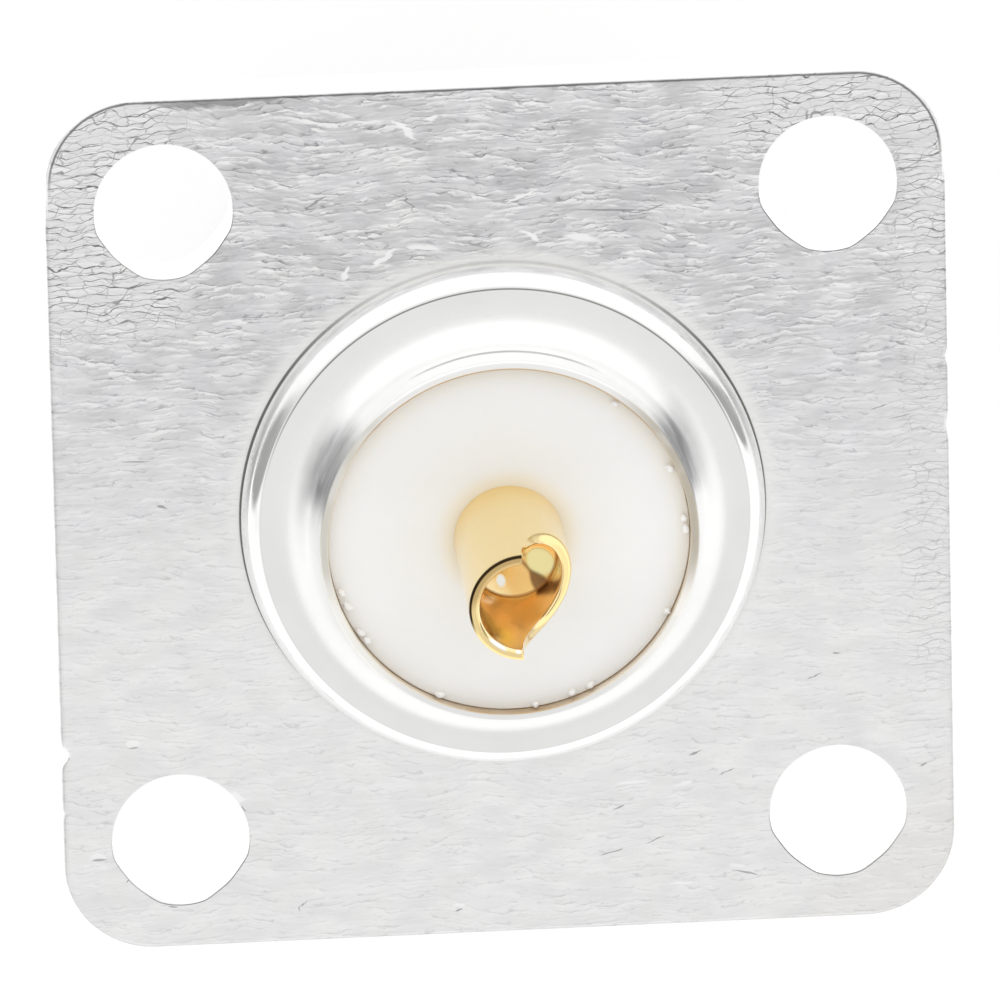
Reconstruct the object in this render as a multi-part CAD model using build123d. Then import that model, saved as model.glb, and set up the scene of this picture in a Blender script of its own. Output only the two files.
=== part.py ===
from build123d import *
import os
from math import acos, degrees, radians, sin, tan

# A coaxial panel jack with a square flange: threaded mating end below, solder cup on top.
# The origin is the centre of the flange's front face, the face that lies against the panel.
# +Z runs along the axis of the jack, from the mating end to the solder cup. Millimetres.

# Flange plate
flange_side = 24.8
flange_thickness = 1.45
flange_corner_radius = 2.5
flange_back_edge_round = 0.14
flange_front_edge_chamfer = 0.1
screw_hole_inset = 3.25
screw_hole_diameter = 3.6
screw_hole_edge_break = 0.06

# Coupling thread and mating bore, in front of the plate
barrel_length = 13.3
thread_major_diameter = 15.875
thread_length = 10.7
thread_lead_in = 0.85
relief_diameter = 14.3
seat_length = 1.3
mating_bore_diameter = 8.1
mating_bore_depth = 9.1
mouth_chamfer = 0.35
line_bore_diameter = 7.0
line_bore_length = 1.2

# Headed rear end of the body, behind the plate
tenon_diameter = 12.6
tenon_clearance = 0.02
head_diameter = 14.5
head_height = 0.9
head_edge_radius = 0.76
head_face_diameter = 13.54
head_crevice = 0.08
collar_outer_diameter = 10.5
collar_height = 2.65
collar_root_radius = 1.05
collar_rim_chamfer = 0.08
insulator_bore_diameter = 10.0

# Insulators
insulator_clearance = 0.03
rear_insulator_standoff = 2.3
front_insulator_length = 2.6
insulator_edge_chamfer = 0.1

# Centre contact
contact_diameter = 3.04
contact_clearance = 0.01
contact_shoulder_diameter = 4.2
contact_shoulder_length = 0.8
socket_reach = 4.95
socket_tip_chamfer = 0.2
socket_bore_diameter = 1.65
socket_bore_depth = 5.6
socket_mouth_chamfer = 0.18
socket_slot_count = 4
socket_slot_width = 0.25
socket_slot_length = 4.6
cup_reach = 8.15
cup_edge_round = 0.12
cup_bore_diameter = 2.44
cup_bore_depth = 4.4
drill_point_angle = 118
scoop_radius = 3.82
scoop_past_axis = 0.05

# Places that follow from the sizes above
screw_hole_spacing = flange_side - 2 * screw_hole_inset
mating_face = -barrel_length
thread_end = mating_face + thread_length
reference_plane = mating_face + mating_bore_depth
insulator_seat = reference_plane + line_bore_length
plate_back = flange_thickness
head_top = plate_back + head_height
collar_top = plate_back + collar_height
insulator_top = plate_back + rear_insulator_standoff
insulator_joint = insulator_seat + front_insulator_length
shoulder_bottom = insulator_joint - contact_shoulder_length
socket_tip = reference_plane - socket_reach
cup_end = plate_back + cup_reach
cup_bottom = cup_end - cup_bore_depth


def turned(outline):
    """Solid of revolution about Z from an outline of radius and height."""
    return revolve(Plane.XZ * make_face(outline), Axis.Z)


def round_bar(diameter, low, high):
    """Plain cylinder on the axis between two heights."""
    return Pos(0, 0, low) * Cylinder(
        diameter / 2, high - low, align=(Align.CENTER, Align.CENTER, Align.MIN)
    )


def make_flange_plate():
    """Stamped square plate with rounded corners, four screw holes and the hole for the body."""
    blank = extrude(RectangleRounded(flange_side, flange_side, flange_corner_radius), flange_thickness)
    plate = fillet(blank.faces().sort_by(Axis.Z)[-1].edges(), flange_back_edge_round)
    plate = chamfer(plate.faces().sort_by(Axis.Z)[0].edges(), flange_front_edge_chamfer)
    for place in GridLocations(screw_hole_spacing, screw_hole_spacing, 2, 2):
        plate -= place * round_bar(screw_hole_diameter, 0, plate_back)
    back_rims = [edge for edge in plate.faces().sort_by(Axis.Z)[-1].edges() if edge.is_closed]
    plate = chamfer(back_rims, screw_hole_edge_break)
    return plate - round_bar(tenon_diameter + 2 * tenon_clearance, 0, plate_back)


def make_jack_body():
    """Turned outer conductor: thread blank, relief, seat, tenon headed over the plate, and collar."""
    thread_r = thread_major_diameter / 2
    relief_r = relief_diameter / 2
    tenon_r = tenon_diameter / 2
    head_r = head_diameter / 2
    face_r = head_face_diameter / 2
    collar_r = collar_outer_diameter / 2
    insulator_r = insulator_bore_diameter / 2
    line_r = line_bore_diameter / 2
    mating_r = mating_bore_diameter / 2
    bead_centre_r = head_r - head_edge_radius
    bead_sweep = acos((face_r - bead_centre_r) / head_edge_radius)
    bead_centre_z = head_top - head_edge_radius * sin(bead_sweep)
    barrel = Polyline(
        (mating_r + mouth_chamfer, mating_face),
        (thread_r - thread_lead_in, mating_face),
        (thread_r, mating_face + thread_lead_in),
        (thread_r, thread_end),
        (relief_r, thread_end),
        (relief_r, -seat_length),
        (thread_r, -seat_length),
        (thread_r, 0),
        (tenon_r, 0),
        (tenon_r, plate_back),
        (head_r - head_crevice, plate_back),
        (head_r, plate_back + head_crevice),
        (head_r, bead_centre_z),
    )
    bead = CenterArc((bead_centre_r, bead_centre_z), head_edge_radius, 0, degrees(bead_sweep))
    ring = Line((face_r, head_top), (collar_r + collar_root_radius, head_top))
    root = CenterArc(
        (collar_r + collar_root_radius, head_top + collar_root_radius), collar_root_radius, 270, -90
    )
    bores = Polyline(
        (collar_r, head_top + collar_root_radius),
        (collar_r, collar_top - collar_rim_chamfer),
        (collar_r - collar_rim_chamfer, collar_top),
        (insulator_r, collar_top),
        (insulator_r, insulator_seat),
        (line_r, insulator_seat),
        (line_r, reference_plane),
        (mating_r, reference_plane),
        (mating_r, mating_face + mouth_chamfer),
        (mating_r + mouth_chamfer, mating_face),
    )
    return turned(barrel + bead + ring + root + bores)


def make_front_insulator():
    """Insulator against the lip of the body, with a recess for the shoulder of the contact."""
    outside = insulator_bore_diameter - 2 * insulator_clearance
    disc = round_bar(outside, insulator_seat, insulator_joint)
    disc -= round_bar(contact_diameter + 2 * contact_clearance, insulator_seat, insulator_joint)
    recess = contact_shoulder_diameter + 2 * contact_clearance
    return disc - round_bar(recess, shoulder_bottom, insulator_joint)


def make_rear_insulator():
    """Insulator behind the shoulder of the contact, with its face just inside the collar."""
    outside = insulator_bore_diameter - 2 * insulator_clearance
    disc = round_bar(outside, insulator_joint, insulator_top)
    disc = chamfer(disc.faces().sort_by(Axis.Z)[-1].edges(), insulator_edge_chamfer)
    return disc - round_bar(contact_diameter + 2 * contact_clearance, insulator_joint, insulator_top)


def make_centre_contact():
    """Turned contact: slotted socket below, shoulder in the insulators, scooped solder cup on top."""
    contact_r = contact_diameter / 2
    shoulder_r = contact_shoulder_diameter / 2
    socket_r = socket_bore_diameter / 2
    cup_r = cup_bore_diameter / 2
    outside = Polyline(
        (0, socket_tip),
        (contact_r - socket_tip_chamfer, socket_tip),
        (contact_r, socket_tip + socket_tip_chamfer),
        (contact_r, shoulder_bottom),
        (shoulder_r, shoulder_bottom),
        (shoulder_r, insulator_joint),
        (contact_r, insulator_joint),
        (contact_r, cup_end - cup_edge_round),
    )
    cup_edge = CenterArc((contact_r - cup_edge_round, cup_end - cup_edge_round), cup_edge_round, 0, 90)
    top = Polyline((contact_r - cup_edge_round, cup_end), (0, cup_end), (0, socket_tip))
    contact = turned(outside + cup_edge + top)
    socket_bore = Polyline(
        (0, socket_tip),
        (socket_r + socket_mouth_chamfer, socket_tip),
        (socket_r, socket_tip + socket_mouth_chamfer),
        (socket_r, socket_tip + socket_bore_depth),
        (0, socket_tip + socket_bore_depth),
        (0, socket_tip),
    )
    contact -= turned(socket_bore)
    drill_depth = cup_r / tan(radians(drill_point_angle / 2))
    cup_bore = Polyline(
        (0, cup_bottom - drill_depth),
        (cup_r, cup_bottom),
        (cup_r, cup_end),
        (0, cup_end),
        (0, cup_bottom - drill_depth),
    )
    contact -= turned(cup_bore)
    cutter = Rot(90, 0, 0) * Cylinder(scoop_radius, contact_shoulder_diameter)
    contact -= Pos(scoop_past_axis - scoop_radius, 0, cup_end) * cutter
    slot = Box(
        contact_diameter,
        socket_slot_width,
        socket_slot_length,
        align=(Align.MIN, Align.CENTER, Align.MIN),
    )
    for place in PolarLocations(0, socket_slot_count):
        contact -= Pos(0, 0, socket_tip) * place * slot
    return contact


pieces = {
    "flange_plate": make_flange_plate(),
    "jack_body": make_jack_body(),
    "front_insulator": make_front_insulator(),
    "rear_insulator": make_rear_insulator(),
    "centre_contact": make_centre_contact(),
}

os.makedirs("parts", exist_ok=True)
for name, piece in pieces.items():
    export_step(piece, f"parts/{name}.step")
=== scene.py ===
import math
import random
import bmesh
import bpy
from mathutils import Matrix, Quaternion, Vector, noise
from mathutils.geometry import delaunay_2d_cdt


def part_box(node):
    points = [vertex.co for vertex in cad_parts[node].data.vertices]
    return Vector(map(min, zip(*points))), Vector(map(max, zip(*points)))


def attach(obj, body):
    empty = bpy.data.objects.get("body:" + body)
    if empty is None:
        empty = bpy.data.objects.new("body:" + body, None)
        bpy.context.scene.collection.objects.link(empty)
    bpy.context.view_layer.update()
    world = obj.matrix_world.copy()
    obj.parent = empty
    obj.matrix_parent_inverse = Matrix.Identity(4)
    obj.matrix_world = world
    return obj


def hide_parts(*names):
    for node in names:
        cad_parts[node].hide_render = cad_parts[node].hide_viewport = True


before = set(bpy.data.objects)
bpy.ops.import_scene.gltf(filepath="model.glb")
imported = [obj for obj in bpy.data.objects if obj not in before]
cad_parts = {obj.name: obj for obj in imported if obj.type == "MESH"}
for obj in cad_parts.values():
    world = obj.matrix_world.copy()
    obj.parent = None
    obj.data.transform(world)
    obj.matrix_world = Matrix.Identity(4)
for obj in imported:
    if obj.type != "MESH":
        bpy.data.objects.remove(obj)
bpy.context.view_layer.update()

MM = 0.001
WHITE = (1.0, 1.0, 1.0, 1.0)


def box_mm(node):
    """Lowest and highest corner of a CAD node in millimetres."""
    low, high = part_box(node)
    return low / MM, high / MM


# Places read from the frame, in millimetres
plate_low, plate_high = box_mm("flange_plate")
body_low, body_high = box_mm("jack_body")
rear_low, rear_high = box_mm("rear_insulator")
contact_low, contact_high = box_mm("centre_contact")
PLATE_HALF = plate_high.x
PLATE_BACK = plate_high.z
THREAD_R = body_high.x
MATING_FACE = body_low.z
COLLAR_TOP = body_high.z
INSULATOR_R = rear_high.x
INSULATOR_TOP = rear_high.z
INSULATOR_JOINT = rear_low.z
SHOULDER_R = contact_high.x
SOCKET_TIP = contact_low.z
CUP_END = contact_high.z

# Sizes of the solids that the finished surfaces keep, in millimetres
CORNER_R = 2.5
HOLE_INSET = 3.25
HOLE_R = 1.8
TENON_R = 6.3
PLATE_HOLE_R = 6.32
THREAD_LENGTH = 10.7
THREAD_LEAD_IN = 0.85
THREAD_PITCH = 25.4 / 24
RELIEF_R = 7.15
SEAT_LENGTH = 1.3
MATING_R = 4.05
MATING_DEPTH = 9.1
LINE_R = 3.5
LINE_LENGTH = 1.2
HEAD_R = 7.25
HEAD_HEIGHT = 0.9
BEAD_R = 0.76
FACE_R = 6.77
CREVICE = 0.08
COLLAR_R = 5.25
ROOT_R = 1.05
BORE_R = 5.0
CONTACT_R = 1.52
SHOULDER_LENGTH = 0.8
SOCKET_R = 0.825
SOCKET_DEPTH = 5.6
SLOT_HALF = 0.125
SLOT_LENGTH = 4.6
CUP_R = 1.22
CUP_DEPTH = 4.4
DRILL_ANGLE = math.radians(59)
SCOOP_R = 3.82
SCOOP_PAST_AXIS = 0.05

# Viewpoint of the photo
VIEW_ELEVATION = math.radians(70.475)
VIEW_AZIMUTH = math.radians(10.778)
VIEW_ROLL = math.radians(167.294)
VIEW_DISTANCE = 552.09 * MM
VIEW_AIM = Vector((0.064, -0.287, 1.346)) * MM
LENS = 720.0
SENSOR = 36.0


def view_back():
    """Unit vector from the object to the camera of the photo."""
    level = math.cos(VIEW_ELEVATION)
    return Vector((
        math.sin(VIEW_AZIMUTH) * level,
        -math.cos(VIEW_AZIMUTH) * level,
        math.sin(VIEW_ELEVATION),
    ))


def make_camera():
    """Camera at the photo's viewpoint, rolled as the photo is."""
    data = bpy.data.cameras.new("camera")
    data.lens = LENS
    data.sensor_width = SENSOR
    data.clip_start = 0.01
    data.clip_end = 10.0
    camera = bpy.data.objects.new("camera", data)
    bpy.context.scene.collection.objects.link(camera)
    back = view_back()
    camera.location = VIEW_AIM + back * VIEW_DISTANCE
    camera.rotation_mode = "QUATERNION"
    upright = (-back).to_track_quat("-Z", "Y")
    camera.rotation_quaternion = upright @ Quaternion((0, 0, 1), VIEW_ROLL)
    bpy.context.scene.camera = camera


class Graph:
    """A node tree with short calls for making and joining nodes."""

    def __init__(self, tree):
        self.tree = tree
        tree.nodes.clear()

    def add(self, kind, inputs=None, **settings):
        node = self.tree.nodes.new(kind)
        for key, value in settings.items():
            setattr(node, key, value)
        for key, value in (inputs or {}).items():
            self.put(node.inputs[key], value)
        return node

    def put(self, socket, value):
        if isinstance(value, bpy.types.NodeSocket):
            self.tree.links.new(value, socket)
        else:
            socket.default_value = value

    def math(self, operation, first, second=0.0, third=0.0):
        node = self.add("ShaderNodeMath", operation=operation)
        for socket, value in zip(node.inputs, (first, second, third)):
            self.put(socket, value)
        return node.outputs[0]

    def vector(self, operation, first, second, output="Vector"):
        node = self.add("ShaderNodeVectorMath", {0: first, 1: second}, operation=operation)
        return node.outputs[output]

    def smooth(self, value, low, high, start=0.0, end=1.0):
        """Smooth step from start to end as the value goes from low to high."""
        node = self.add("ShaderNodeMapRange", interpolation_type="SMOOTHSTEP")
        names = ("Value", "From Min", "From Max", "To Min", "To Max")
        for name, number in zip(names, (value, low, high, start, end)):
            self.put(node.inputs[name], number)
        return node.outputs[0]

    def band(self, value, centre, half, soft):
        """One within half of the centre, falling to zero over the soft distance."""
        off = self.math("ABSOLUTE", self.math("SUBTRACT", value, centre))
        return self.smooth(off, half, half + soft, 1.0, 0.0)

    def mix(self, factor, first, second):
        node = self.add("ShaderNodeMix", {0: factor, 6: first, 7: second}, data_type="RGBA")
        return node.outputs[2]

    def split(self, vector):
        return self.add("ShaderNodeSeparateXYZ", {0: vector}).outputs

    def join(self, x, y, z):
        return self.add("ShaderNodeCombineXYZ", {0: x, 1: y, 2: z}).outputs[0]

    def noise(self, vector, scale, detail=2.0, rough=0.5, warp=0.0):
        node = self.add("ShaderNodeTexNoise", {
            "Vector": vector, "Scale": scale, "Detail": detail, "Roughness": rough, "Distortion": warp,
        })
        return node.outputs["Fac"]

    def bump(self, height, strength, distance, under=None):
        node = self.add("ShaderNodeBump", {
            "Height": height, "Strength": strength, "Distance": distance * MM,
        })
        if under is not None:
            self.put(node.inputs["Normal"], under)
        return node.outputs[0]


def make_world():
    """Bright studio all round, dimmer overhead and dark beyond its two sides."""
    overhead = Vector((0.0, math.sin(math.radians(5)), math.cos(math.radians(5))))
    world = bpy.data.worlds.new("studio")
    bpy.context.scene.world = world
    world.use_nodes = True
    g = Graph(world.node_tree)
    direction = g.add("ShaderNodeTexCoord").outputs["Generated"]
    x, y, z = g.split(direction)
    level = g.math("MULTIPLY_ADD", g.math("MULTIPLY", x, x), -0.12, 1.17)
    toward = g.vector("DOT_PRODUCT", direction, overhead, "Value")
    dim = g.smooth(toward, math.cos(math.radians(48)), math.cos(math.radians(27)))
    level = g.math("MULTIPLY", level, g.math("MULTIPLY_ADD", dim, -0.30, 1.0))
    for side, centre, half in ((-1, -0.075, 0.18), (1, -0.015, 0.27)):
        across = g.math("DIVIDE", g.math("SUBTRACT", y, centre), half)
        up = g.math("DIVIDE", g.math("SUBTRACT", z, 0.35), 0.49)
        off = g.math("SQRT", g.math("ADD", g.math("MULTIPLY", across, across), g.math("MULTIPLY", up, up)))
        patch = g.smooth(off, 0.78, 1.06, 1.0, 0.0)
        patch = g.math("MULTIPLY", patch, g.math("GREATER_THAN", g.math("MULTIPLY", x, side), 0.0))
        level = g.math("MULTIPLY", level, g.math("MULTIPLY_ADD", patch, -0.64, 1.0))
    seen = g.add("ShaderNodeLightPath").outputs["Is Camera Ray"]
    hidden = g.math("SUBTRACT", 1.0, seen)
    strength = g.math("ADD", g.math("MULTIPLY", level, hidden), seen)
    background = g.add("ShaderNodeBackground", {"Color": WHITE, "Strength": strength})
    g.add("ShaderNodeOutputWorld", {"Surface": background.outputs[0]})


def make_floor():
    """White floor under the mating end, which glows for the eye but not for the light it gives."""
    half = 3.0
    z = MATING_FACE * MM
    mesh = bpy.data.meshes.new("floor")
    corners = [(-half, -half, z), (half, -half, z), (half, half, z), (-half, half, z)]
    mesh.from_pydata(corners, [], [(0, 1, 2, 3)])
    floor = bpy.data.objects.new("floor", mesh)
    bpy.context.scene.collection.objects.link(floor)
    material = bpy.data.materials.new("floor_white")
    material.use_nodes = True
    g = Graph(material.node_tree)
    path = g.add("ShaderNodeLightPath").outputs
    mirrored = g.math("MAXIMUM", path["Is Glossy Ray"], path["Is Transmission Ray"])
    seen = g.math("MAXIMUM", g.math("MULTIPLY", mirrored, 0.92), g.math("MULTIPLY", path["Is Camera Ray"], 0.74))
    diffuse = g.add("ShaderNodeBsdfDiffuse", {"Color": (0.34, 0.34, 0.34, 1.0)})
    glow = g.add("ShaderNodeEmission", {"Color": WHITE, "Strength": seen})
    both = g.add("ShaderNodeAddShader", {0: diffuse.outputs[0], 1: glow.outputs[0]})
    g.add("ShaderNodeOutputMaterial", {"Surface": both.outputs[0]})
    mesh.materials.append(material)


def new_material(name):
    """A material with one Principled shader: the material, its graph and the shader."""
    material = bpy.data.materials.new(name)
    material.use_nodes = True
    g = Graph(material.node_tree)
    shader = g.add("ShaderNodeBsdfPrincipled")
    g.add("ShaderNodeOutputMaterial", {"Surface": shader.outputs[0]})
    return material, g, shader


def place_mm(g):
    """The point in the object's own millimetres."""
    place = g.add("ShaderNodeTexCoord").outputs["Object"]
    return g.vector("MULTIPLY", place, (1 / MM, 1 / MM, 1 / MM))


def finish_piece(mesh, name, node, material, sharp=32):
    """Puts a made mesh in the scene in place of a CAD node, riding on the one body."""
    for polygon in mesh.polygons:
        polygon.use_smooth = True
    mesh.set_sharp_from_angle(angle=math.radians(sharp))
    piece = bpy.data.objects.new(name, mesh)
    bpy.context.scene.collection.objects.link(piece)
    mesh.materials.append(material)
    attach(piece, "root")
    if node:
        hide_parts(node)
    return piece


def stroke(g, u, w, mark):
    """One where a mark of the plate lies, with soft ends."""
    across, down, length, width, slope = mark
    cos, sin = math.cos(math.radians(slope)), -math.sin(math.radians(slope))
    du = g.math("SUBTRACT", u, across)
    dw = g.math("SUBTRACT", w, down)
    along = g.math("MULTIPLY_ADD", du, 2 * cos / length, g.math("MULTIPLY", dw, 2 * sin / length))
    beside = g.math("MULTIPLY_ADD", du, -2 * sin / width, g.math("MULTIPLY", dw, 2 * cos / width))
    off = g.vector("LENGTH", g.join(along, beside, 0.0), (0, 0, 0), "Value")
    return g.smooth(off, 0.6, 1.15, 1.0, 0.0)


def marks_mask(g, u, w, marks):
    total = 0.0
    for mark in marks:
        total = g.math("MAXIMUM", stroke(g, u, w, mark), total)
    return total


def straight(start, end, steps=1):
    """Points of a straight stretch of an outline, with one close to each end to keep it flat."""
    start, end = Vector(start), Vector(end)
    length = (end - start).length
    near = min(0.02 / length, 0.2)
    shares = [0.0, near] + [k / steps for k in range(1, steps)] + [1 - near]
    return [tuple(start.lerp(end, share)) for share in shares]


def arc(centre, radius, start, end, steps):
    """Points of a round stretch of an outline, from one angle in degrees up to another."""
    points = []
    for k in range(steps):
        angle = math.radians(start + (end - start) * k / steps)
        points.append((centre[0] + radius * math.cos(angle), centre[1] + radius * math.sin(angle)))
    return points


def lathe(bm, outline, angles, shape=None, closed=True):
    """Turns an outline of radius and height about Z; shape may move each point for its angle."""
    rows = []
    for radius, height in outline:
        if radius == 0:
            rows.append([bm.verts.new((0, 0, height * MM))] * len(angles))
            continue
        row = []
        for angle in angles:
            r, z = shape(radius, height, angle) if shape else (radius, height)
            row.append(bm.verts.new((r * math.cos(angle) * MM, r * math.sin(angle) * MM, z * MM)))
        rows.append(row)
    skin(bm, rows, closed)
    return rows


def skin(bm, rows, closed, round_trip=True):
    """Faces between neighbouring rows of vertices."""
    pairs = list(zip(rows, rows[1:]))
    if closed:
        pairs.append((rows[-1], rows[0]))
    for lower, upper in pairs:
        count = len(lower)
        for k in range(count if round_trip else count - 1):
            n = (k + 1) % count
            corners = [lower[k], lower[n], upper[n], upper[k]]
            unique = list(dict.fromkeys(corners))
            if len(unique) > 2:
                bm.faces.new(unique)


def even_angles(count):
    return [2 * math.pi * k / count for k in range(count)]


def mesh_from(bm, name):
    """Closes a built surface up: joins double points and turns the faces outward."""
    bmesh.ops.remove_doubles(bm, verts=bm.verts, dist=1e-7)
    bmesh.ops.dissolve_degenerate(bm, edges=bm.edges, dist=1e-8)
    bmesh.ops.recalc_face_normals(bm, faces=bm.faces)
    mesh = bpy.data.meshes.new(name)
    bm.to_mesh(mesh)
    bm.free()
    return mesh


# Turned body

def thread_radius(height, angle):
    """Radius of a 60 degree right-hand thread at a height and an angle."""
    phase = ((height - MATING_FACE) / THREAD_PITCH - angle / (2 * math.pi)) % 1.0
    from_crest = min(phase, 1 - phase) * THREAD_PITCH
    depth = 0.625 * math.cos(math.radians(30)) * THREAD_PITCH
    cut = (from_crest - THREAD_PITCH / 16) * math.tan(math.radians(60))
    lead_in = THREAD_R - THREAD_LEAD_IN + (height - MATING_FACE)
    return min(THREAD_R - max(0.0, min(cut, depth)), lead_in)


def thread_rows(bm, angles):
    """Helical rows of the thread, held at the ends of the barrel."""
    top = MATING_FACE + THREAD_LENGTH
    phases = [0.0, 0.0625, 0.1, 0.16, 0.22, 0.29, 0.375, 0.44, 0.5, 0.56, 0.625, 0.71, 0.78, 0.84, 0.9, 0.9375]
    turns = int(THREAD_LENGTH / THREAD_PITCH) + 2
    rows = []
    for turn in range(-1, turns):
        for phase in phases:
            row = []
            for angle in angles + [2 * math.pi]:
                lift = (turn + phase + angle / (2 * math.pi)) * THREAD_PITCH
                z = max(MATING_FACE, min(top, MATING_FACE + lift))
                r = thread_radius(z, angle)
                row.append(bm.verts.new((r * math.cos(angle) * MM, r * math.sin(angle) * MM, z * MM)))
            rows.append(row)
    skin(bm, rows, closed=False, round_trip=False)


def make_body(material):
    """Jack body with its cut thread, relief, seat, headed bead, faced ring and collar."""
    angles = even_angles(224)
    bm = bmesh.new()
    thread_rows(bm, angles)
    thread_end = MATING_FACE + THREAD_LENGTH
    head_top = PLATE_BACK + HEAD_HEIGHT
    bead_centre = HEAD_R - BEAD_R
    sweep = math.degrees(math.acos((FACE_R - bead_centre) / BEAD_R))
    bead_z = head_top - BEAD_R * math.sin(math.radians(sweep))
    reference = MATING_FACE + MATING_DEPTH
    seat = reference + LINE_LENGTH
    rim = 0.08
    outline = [(THREAD_R, thread_end)]
    outline += straight((RELIEF_R + 0.05, thread_end), (RELIEF_R, thread_end + 0.05))
    outline += straight((RELIEF_R, thread_end + 0.05), (RELIEF_R, -SEAT_LENGTH - 0.05))
    outline += straight((RELIEF_R + 0.05, -SEAT_LENGTH), (THREAD_R - 0.1, -SEAT_LENGTH))
    outline += straight((THREAD_R, -SEAT_LENGTH + 0.1), (THREAD_R, -0.06), 2)
    outline += straight((THREAD_R - 0.06, 0), (TENON_R, 0))
    outline += straight((TENON_R, 0), (TENON_R, PLATE_BACK))
    outline += straight((TENON_R, PLATE_BACK), (HEAD_R - CREVICE, PLATE_BACK))
    outline += straight((HEAD_R - CREVICE, PLATE_BACK), (HEAD_R, PLATE_BACK + CREVICE))
    outline += straight((HEAD_R, PLATE_BACK + CREVICE), (HEAD_R, bead_z))
    outline += arc((bead_centre, bead_z), BEAD_R, 0, sweep, 16)
    outline += straight((FACE_R, head_top), (COLLAR_R + ROOT_R, head_top), 3)
    outline += arc((COLLAR_R + ROOT_R, head_top + ROOT_R), ROOT_R, 270, 180, 24)
    outline += straight((COLLAR_R, head_top + ROOT_R), (COLLAR_R, COLLAR_TOP - rim), 2)
    outline += arc((COLLAR_R - rim, COLLAR_TOP - rim), rim, 0, 90, 5)
    outline += straight((COLLAR_R - rim, COLLAR_TOP), (BORE_R + 0.04, COLLAR_TOP))
    outline += arc((BORE_R + 0.04, COLLAR_TOP - 0.04), 0.04, 90, 180, 3)
    outline += straight((BORE_R, COLLAR_TOP - 0.04), (BORE_R, seat), 2)
    outline += straight((BORE_R, seat), (LINE_R, seat))
    outline += straight((LINE_R, seat), (LINE_R, reference), 2)
    outline += straight((LINE_R, reference), (MATING_R, reference))
    outline += straight((MATING_R, reference), (MATING_R, MATING_FACE + 0.35), 4)
    outline += straight((MATING_R, MATING_FACE + 0.35), (MATING_R + 0.35, MATING_FACE))
    outline += straight((MATING_R + 0.35, MATING_FACE), (THREAD_R - THREAD_LEAD_IN, MATING_FACE), 2)
    outline += [(THREAD_R - THREAD_LEAD_IN, MATING_FACE)]

    def shape(radius, height, angle):
        if height == thread_end and radius == THREAD_R:
            return thread_radius(height, angle), height
        return radius, height

    lathe(bm, outline, angles, shape, closed=False)
    return finish_piece(mesh_from(bm, "body"), "turned_body", "jack_body", material)


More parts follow.
